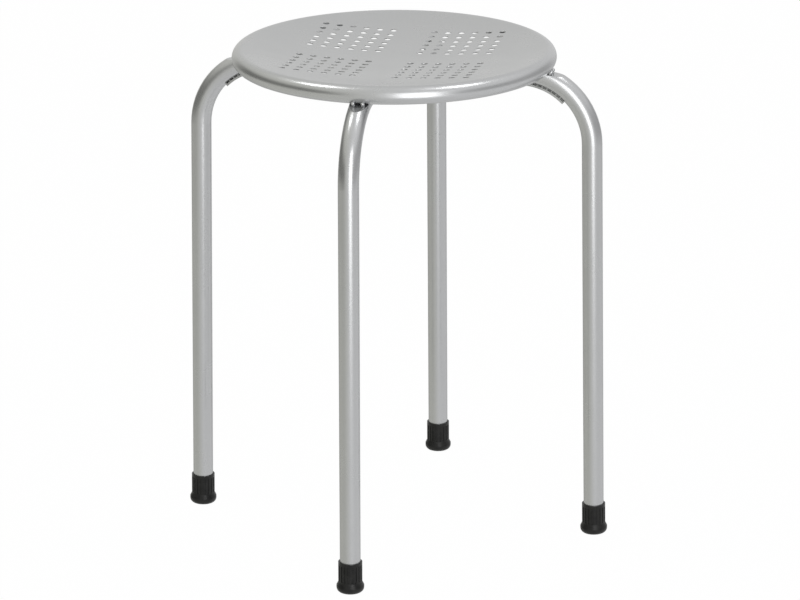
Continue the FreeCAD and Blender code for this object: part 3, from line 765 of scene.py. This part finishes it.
@dataclass
class Ferrule:
    """A rubber ferrule: round toe, widest band, cone, and a fluted sleeve with a plain collar."""

    sole_radius: float = 9.0
    toe_height: float = 4.0
    band_height: float = 2.0
    cone_height: float = 3.4
    length: float = 28.6
    sleeve_radius: float = 11.0
    bore_radius: float = 9.6
    bore_floor: float = 5.0
    flutes: int = 20
    flute_depth: float = 0.5
    flute_top: float = 26.0
    flute_bottom: float = 10.5
    flute_share: float = 0.5
    toe_steps: int = 7
    edge_round: float = 0.18
    crease_angle: float = 28.0
    trim: float = 0.5
    splay: float = 0.9
    leg_reach: float = 192.0

    def __post_init__(self) -> None:
        """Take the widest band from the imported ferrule."""
        low, high = (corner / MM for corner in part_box("rubber_foot_right"))
        self.flare_radius = (high.y - low.y) / 2

    def build(self, material: bpy.types.Material) -> None:
        """Model one ferrule and copy it to the four legs.

        Args:
            material: the finish.
        """
        first = self._shape()
        self._flute(first)
        self._stand(first)
        round_edges(first, self.crease_angle, self.crease_angle, self.edge_round)
        for leg in Leg:
            copy = first if leg is Leg.RIGHT else first.copy()
            if copy is not first:
                copy.data = first.data.copy()
                bpy.context.scene.collection.objects.link(copy)
                copy.data.transform(leg.turn)
            node = f"rubber_foot_{leg.label}"
            finish_piece(copy, f"ferrule_{leg.label}", Slot.BLACK_RUBBER, material, node)

    def _outline(self) -> list[tuple[float, float]]:
        """Radius and height of each ring from the sole up and down into the bore.

        Returns:
            The rings, in millimetres.
        """
        across = self.flare_radius - self.sole_radius
        rise = self.toe_height + self.trim
        toe_radius = (across**2 + rise**2) / (2 * across)
        start = math.asin(rise / toe_radius)
        toe = []
        for step in range(self.toe_steps + 1):
            angle = start * (step / self.toe_steps - 1)
            reach = self.flare_radius - toe_radius * (1 - math.cos(angle))
            toe.append((reach, self.toe_height + toe_radius * math.sin(angle)))
        band_top = self.toe_height + self.band_height
        sleeve = self.sleeve_radius
        return toe + [
            (self.flare_radius, band_top),
            (sleeve, band_top + self.cone_height),
            (sleeve, self.flute_bottom),
            (sleeve, self.flute_top),
            (sleeve, self.length),
            (self.bore_radius, self.length),
            (self.bore_radius, self.bore_floor),
        ]

    def _shape(self) -> bpy.types.Object:
        """The upright ferrule, extruded ring by ring from its sole.

        Returns:
            The closed mesh.
        """
        rings = self._outline()
        deselect()
        reach, height = (value * MM for value in rings[0])
        bpy.ops.mesh.primitive_circle_add(
            vertices=self.flutes * 4, radius=reach, fill_type="NGON", location=(0, 0, height)
        )
        foot = bpy.context.object
        bake_place(foot)
        with editing(foot):
            bpy.ops.mesh.select_mode(type="EDGE")
            bpy.ops.mesh.select_all(action="SELECT")
            bpy.ops.mesh.region_to_loop()
            for next_reach, next_height in rings[1:]:
                extrude_ring(next_height * MM - height, next_reach * MM / reach)
                reach, height = next_reach * MM, next_height * MM
            bpy.ops.mesh.edge_face_add()
            bpy.ops.mesh.select_all(action="SELECT")
            bpy.ops.mesh.normals_make_consistent(inside=False)
        return foot

    def _flute(self, foot: bpy.types.Object) -> None:
        """Sink two of every four faces of the sleeve.

        Args:
            foot: the upright ferrule.
        """
        pitch = math.tau / self.flutes
        inside_wall = (self.bore_radius + self.sleeve_radius) / 2 * MM

        def in_flute(middle: Vector) -> bool:
            """Whether a face's middle lies in a flute."""
            place = (math.atan2(middle.y, middle.x) % math.tau) / pitch % 1
            outside = middle.xy.length > inside_wall
            height = self.flute_bottom * MM < middle.z < self.flute_top * MM
            return outside and height and place < self.flute_share

        with editing(foot):
            select_faces(foot, in_flute)
            bpy.ops.mesh.extrude_region_shrink_fatten(
                TRANSFORM_OT_shrink_fatten={"value": -self.flute_depth * MM, "use_even_offset": True}
            )

    def _stand(self, foot: bpy.types.Object) -> None:
        """Lean the ferrule with its leg, put it in place and cut its sole level.

        Args:
            foot: the upright ferrule.
        """
        foot.rotation_euler = (0, math.radians(-self.splay), 0)
        foot.location = (self.leg_reach * MM, 0, 0)
        bake_place(foot)
        with editing(foot):
            bpy.ops.mesh.select_all(action="SELECT")
            # The threshold is fine, so that nothing is left below the floor
            bpy.ops.mesh.bisect(
                plane_co=(0, 0, 0), plane_no=(0, 0, 1), use_fill=True, clear_inner=True, threshold=1e-6
            )


@dataclass
class WeldBead:
    """A short run of weld with the ripples of the pool, coated over with the frame."""

    ripple: float = 0.8
    sides: int = 20
    fewest_rings: int = 6
    ripple_depth: float = 0.12

    def bead(self, length: float, radius: float, middle: Vector, turn: Matrix) -> bpy.types.Object:
        """One bead along its own Z axis, put in place.

        Args:
            length: the bead's length with its round ends, in millimetres.
            radius: the bead's radius, in millimetres.
            middle: the bead's middle, in millimetres.
            turn: the bead's turn.

        Returns:
            The bead, with its place in its mesh.
        """
        rings = max(self.fewest_rings, round(length / self.ripple * 2))
        first = 0.5 / rings
        reach = self._reach(first, length, radius, 0)
        deselect()
        bpy.ops.mesh.primitive_circle_add(
            vertices=self.sides,
            radius=reach * MM,
            fill_type="NGON",
            location=(0, 0, (first - 0.5) * length * MM),
        )
        bead = bpy.context.object
        bake_place(bead)
        with editing(bead):
            bpy.ops.mesh.select_mode(type="EDGE")
            bpy.ops.mesh.select_all(action="SELECT")
            bpy.ops.mesh.region_to_loop()
            for ring in range(1, rings):
                next_reach = self._reach((ring + 0.5) / rings, length, radius, ring % 2)
                extrude_ring(length / rings * MM, next_reach / reach)
                reach = next_reach
            bpy.ops.mesh.edge_face_add()
            bpy.ops.mesh.select_all(action="SELECT")
            bpy.ops.mesh.normals_make_consistent(inside=False)
        apply_modifier(bead, "SUBSURF", levels=1, render_levels=1)
        bead.matrix_world = Matrix.Translation(middle * MM) @ turn
        bake_place(bead)
        activate(bead)
        bpy.ops.object.shade_smooth()
        return bead

    def _reach(self, share: float, length: float, radius: float, dip: int) -> float:
        """Radius of the bead at a share of its length.

        Args:
            share: place along the bead, from 0 to 1.
            length: the bead's length.
            radius: the bead's radius.
            dip: 1 in the trough of a ripple, 0 on its crest.

        Returns:
            The radius, in millimetres.
        """
        end = min(share, 1 - share) * length
        round_end = math.sqrt(max(0.0, 1 - (1 - min(end / radius, 1)) ** 2))
        return radius * round_end - dip * self.ripple_depth


@dataclass
class Welds:
    """Tacks that hold the rim in its pressed saddles, and the beads along the lap under the seat."""

    bead: WeldBead
    tack_radius: float = 2.0
    tack_length: float = 6.0
    tack_spread: float = 4.4
    tack_lean: float = 42.0
    lap_radius: float = 1.7
    lap_length: float = 12.0
    lap_lift: float = 0.3

    def build(self, material: bpy.types.Material) -> None:
        """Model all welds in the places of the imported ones.

        Args:
            material: the finish.
        """
        low, high = (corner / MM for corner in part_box("rim_weld_right"))
        middle = (low + high) / 2
        for leg in Leg:
            tacks = [
                self.bead.bead(
                    self.tack_length,
                    self.tack_radius,
                    Vector((middle.x, side * self.tack_spread, middle.z)),
                    Euler((0, math.radians(self.tack_lean), 0)).to_matrix().to_4x4(),
                )
                for side in (1, -1)
            ]
            pair = join(tacks)
            pair.data.transform(leg.turn)
            name = f"rim_weld_{leg.label}"
            finish_piece(pair, f"tack_{leg.label}", Slot.COATED_STEEL, material, name)
        low, high = (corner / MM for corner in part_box("lap_weld"))
        beads = [
            self.bead.bead(
                self.lap_length,
                self.lap_radius,
                Vector((side * (high.x - self.lap_radius), 0, low.z + self.lap_lift)),
                Euler((math.radians(90), 0, 0)).to_matrix().to_4x4(),
            )
            for side in (1, -1)
        ]
        finish_piece(join(beads), "lap_beads", Slot.COATED_STEEL, material, "lap_weld")


# Studio


@dataclass(frozen=True)
class Softbox:
    """A soft box by its place round the point it faces, with angles in degrees and lengths in metres."""

    name: str
    around: float
    elevation: float
    distance: float
    aim_height: float
    size: tuple[float, float]
    radiance: float


@dataclass
class Studio:
    """A white sweep, a tall soft key, two high soft boxes, and a camera at the photograph's view."""

    azimuth: float = 12.67
    elevation: float = 18.08
    roll: float = -0.25
    distance: float = 3571.4
    lens: float = 170.55
    aim_x: float = 4.35
    aim_z: float = 217.6
    floor_size: float = 12.0
    floor_drop: float = 0.0005
    floor_white: float = 0.99
    paper: str = "#F4F4F4"
    fill: float = 0.55
    room_white: float = 0.87
    room_rise: tuple[float, float] = (0.07, 0.05)
    dim_left: float = 0.55
    dim_right: float = 0.4
    dim_back: tuple[float, float] = (0.26, 0.08)
    warm_white: str = "#F6F6EE"
    softboxes: tuple[Softbox, ...] = (
        Softbox("key_softbox", 16, 0, 1.25, 0.63, (0.58, 1.22), 2.1),
        Softbox("left_softbox", -90, 60, 1.5, 0.45, (0.4, 0.4), 5.0),
        Softbox("right_softbox", 78, 62, 1.5, 0.45, (0.4, 0.4), 5.0),
    )

    def camera(self) -> None:
        """Put the camera where the photograph was taken from."""
        back = self.direction(0, self.elevation)
        right = self.direction(90, 0)
        place = Vector((0, 0, self.aim_z)) + right * self.aim_x + back * self.distance
        level = Matrix((right, back.cross(right), back)).transposed().to_4x4()
        tilt = Matrix.Rotation(math.radians(self.roll), 4, "Z")
        data = bpy.data.cameras.new("photo_camera")
        data.lens = self.lens
        data.clip_start, data.clip_end = 0.1, 20
        camera = bpy.data.objects.new("photo_camera", data)
        camera.matrix_world = Matrix.Translation(place * MM) @ level @ tilt
        bpy.context.scene.collection.objects.link(camera)
        bpy.context.scene.camera = camera

    def floor(self) -> None:
        """A large white floor that shows as white and keeps a faint shadow."""
        deselect()
        bpy.ops.mesh.primitive_plane_add(size=self.floor_size, location=(0, 0, -self.floor_drop))
        floor = bpy.context.object
        floor.name = "studio_floor"
        # Reflections take the floor's white from the world, where it fades to the sides
        floor.visible_glossy = False
        material = bpy.data.materials.new("white_paper_sweep")
        material.use_nodes = True
        tree = material.node_tree
        tree.nodes.clear()
        path = add_node(tree, "ShaderNodeLightPath").outputs
        share = chain(
            tree,
            path["Is Camera Ray"],
            ("MAXIMUM", path["Is Glossy Ray"]),
            ("MAXIMUM", path["Is Transmission Ray"]),
            ("MULTIPLY", self.floor_white),
        )
        paper = add_node(tree, "ShaderNodeBsdfDiffuse", {"Color": linear(self.paper)}).outputs["BSDF"]
        glow = add_node(tree, "ShaderNodeEmission", {"Color": linear(WHITE), "Strength": 1.0})
        inputs = {0: share, 1: paper, 2: glow.outputs["Emission"]}
        mix = add_node(tree, "ShaderNodeMixShader", inputs).outputs["Shader"]
        add_node(tree, "ShaderNodeOutputMaterial", {"Surface": mix})
        floor.data.materials.append(material)

    def direction(self, around: float, elevation: float) -> Vector:
        """A direction in the studio.

        Args:
            around: degrees from the side of the photograph's camera, to its right.
            elevation: degrees over the floor.

        Returns:
            The direction, one metre long.
        """
        turn, lift = math.radians(self.azimuth + around - 90), math.radians(elevation)
        return Vector((math.cos(turn) * math.cos(lift), math.sin(turn) * math.cos(lift), math.sin(lift)))

    def _room(self, tree: bpy.types.NodeTree) -> tuple[bpy.types.NodeSocket, bpy.types.NodeSocket]:
        """The room that metal mirrors: pale, and dimmer low at the back and in a band on each side.

        Args:
            tree: the world's node tree.

        Returns:
            The room's brightness and how white it is, where it is warm at 0.
        """
        sight = add_node(tree, "ShaderNodeTexCoord").outputs["Generated"]
        right, up = self.direction(90, 0), Vector((0, 0, 1))
        ways = {
            "across": right,
            "up": up,
            "toward": self.direction(0, 0),
            "rise": right * self.room_rise[0] + up * self.room_rise[1],
        }
        along = {}
        for name, way in ways.items():
            inputs = {0: sight, 1: tuple(way)}
            along[name] = add_node(
                tree, "ShaderNodeVectorMath", inputs, operation="DOT_PRODUCT"
            ).outputs["Value"]
        # For each smooth step: the way it runs, where it starts and ends, and its values there
        steps = {
            "low_back": ("up", (-0.25, 0.0), self.dim_back),
            "back": ("toward", (-0.85, -0.3), ("low_back", 0.0)),
            "left": ("across", (-0.85, -0.4), (self.dim_left, 0.0)),
            "right": ("across", (0.4, 0.85), (0.0, self.dim_right)),
            "band_foot": ("up", (-0.3, -0.08), (0.0, 1.0)),
            "band_head": ("up", (0.18, 0.5), (1.0, 0.0)),
            "white": ("across", (-0.9, 0.3), (0.0, 1.0)),
        }
        step = {}
        for name, (way, (start, end), (first, last)) in steps.items():
            inputs = {
                "Value": along[way],
                "From Min": start,
                "From Max": end,
                "To Min": step.get(first, first),
                "To Max": last,
            }
            step[name] = add_node(
                tree, "ShaderNodeMapRange", inputs, interpolation_type="SMOOTHSTEP"
            ).outputs["Result"]
        band = chain(tree, step["band_foot"], ("MULTIPLY", step["band_head"]))
        sides = chain(tree, step["left"], ("ADD", step["right"]), ("MULTIPLY", band))
        plain = chain(tree, along["rise"], ("ADD", self.room_white), ("SUBTRACT", step["back"]))
        return chain(tree, plain, ("SUBTRACT", sides)), step["white"]

    def world(self) -> None:
        """White where the camera sees it, a plain fill of light, and the room for metal to mirror."""
        world = bpy.data.worlds.new("studio_world")
        world.use_nodes = True
        world.cycles.sampling_method = "NONE"
        tree = world.node_tree
        tree.nodes.clear()
        path = add_node(tree, "ShaderNodeLightPath").outputs
        mirrored, white = self._room(tree)
        shown = chain(tree, path["Is Camera Ray"], ("MAXIMUM", path["Is Transmission Ray"]))
        strength = self.fill
        for ray, seen in ((path["Is Glossy Ray"], mirrored), (shown, 1.0)):
            inputs = {"Value": ray, "To Min": strength, "To Max": seen}
            strength = add_node(tree, "ShaderNodeMapRange", inputs).outputs["Result"]
        colour = linear(self.warm_white)
        for share in (white, shown):
            inputs = {"Factor": share, MIX_FIRST: colour, MIX_SECOND: linear(WHITE)}
            colour = add_node(tree, "ShaderNodeMix", inputs, data_type="RGBA").outputs[MIX_RESULT]
        light = add_node(tree, "ShaderNodeBackground", {"Color": colour, "Strength": strength})
        add_node(tree, "ShaderNodeOutputWorld", {"Surface": light.outputs["Background"]})
        bpy.context.scene.world = world

    def lamp(self, box: Softbox) -> None:
        """Put up one soft box, which the camera doesn't see.

        Args:
            box: the soft box, whose radiance is 1 where its face is white.
        """
        data = bpy.data.lights.new(box.name, "AREA")
        data.shape = "RECTANGLE"
        data.size, data.size_y = box.size
        data.energy = box.radiance * math.pi * box.size[0] * box.size[1]
        back = self.direction(box.around, box.elevation)
        lamp = bpy.data.objects.new(box.name, data)
        lamp.location = back * box.distance + Vector((0, 0, box.aim_height))
        lamp.rotation_euler = (-back).to_track_quat("-Z", "Y").to_euler()
        lamp.visible_camera = False
        bpy.context.scene.collection.objects.link(lamp)

    def build(self) -> None:
        """Set up the whole studio."""
        self.floor()
        self.world()
        for box in self.softboxes:
            self.lamp(box)
        self.camera()
        bpy.context.scene.view_settings.view_transform = "Standard"


def dress_frame(nodes: dict[str, bpy.types.Object], finishes: dict[Slot, bpy.types.Material]) -> None:
    """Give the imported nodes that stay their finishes.

    Args:
        nodes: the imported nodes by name.
        finishes: the material of each slot.
    """
    kept = {
        Slot.COATED_STEEL: ["side_leg_tube", "front_back_leg_tube"],
        Slot.GREY_PLASTIC: [f"stacking_pad_{leg.label}" for leg in Leg],
        Slot.ZINC_STEEL: [f"foot_washer_{leg.label}" for leg in Leg],
    }
    for slot, names in kept.items():
        for name in names:
            for place in range(len(nodes[name].material_slots)):
                nodes[name].material_slots[place].material = finishes[slot]
            LOG.info("%s: %s", name, finishes[slot].name)


def main() -> None:
    """Load the frame, build and dress every piece, and light it."""
    logging.basicConfig(level=logging.INFO, format="%(name)s: %(message)s")
    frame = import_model()
    finishes = {
        Slot.COATED_STEEL: SilverPowderCoat().material(),
        Slot.GREY_PLASTIC: MouldedPolypropylene().material(),
        Slot.BLACK_RUBBER: MouldedRubber().material(),
        Slot.ZINC_STEEL: ZincPlate().material(),
    }
    dress_frame(frame["nodes"], finishes)
    SeatPan().build(finishes[Slot.COATED_STEEL])
    Ferrule().build(finishes[Slot.BLACK_RUBBER])
    Welds(WeldBead()).build(finishes[Slot.COATED_STEEL])
    Studio().build()


if __name__ == "__main__":
    main()
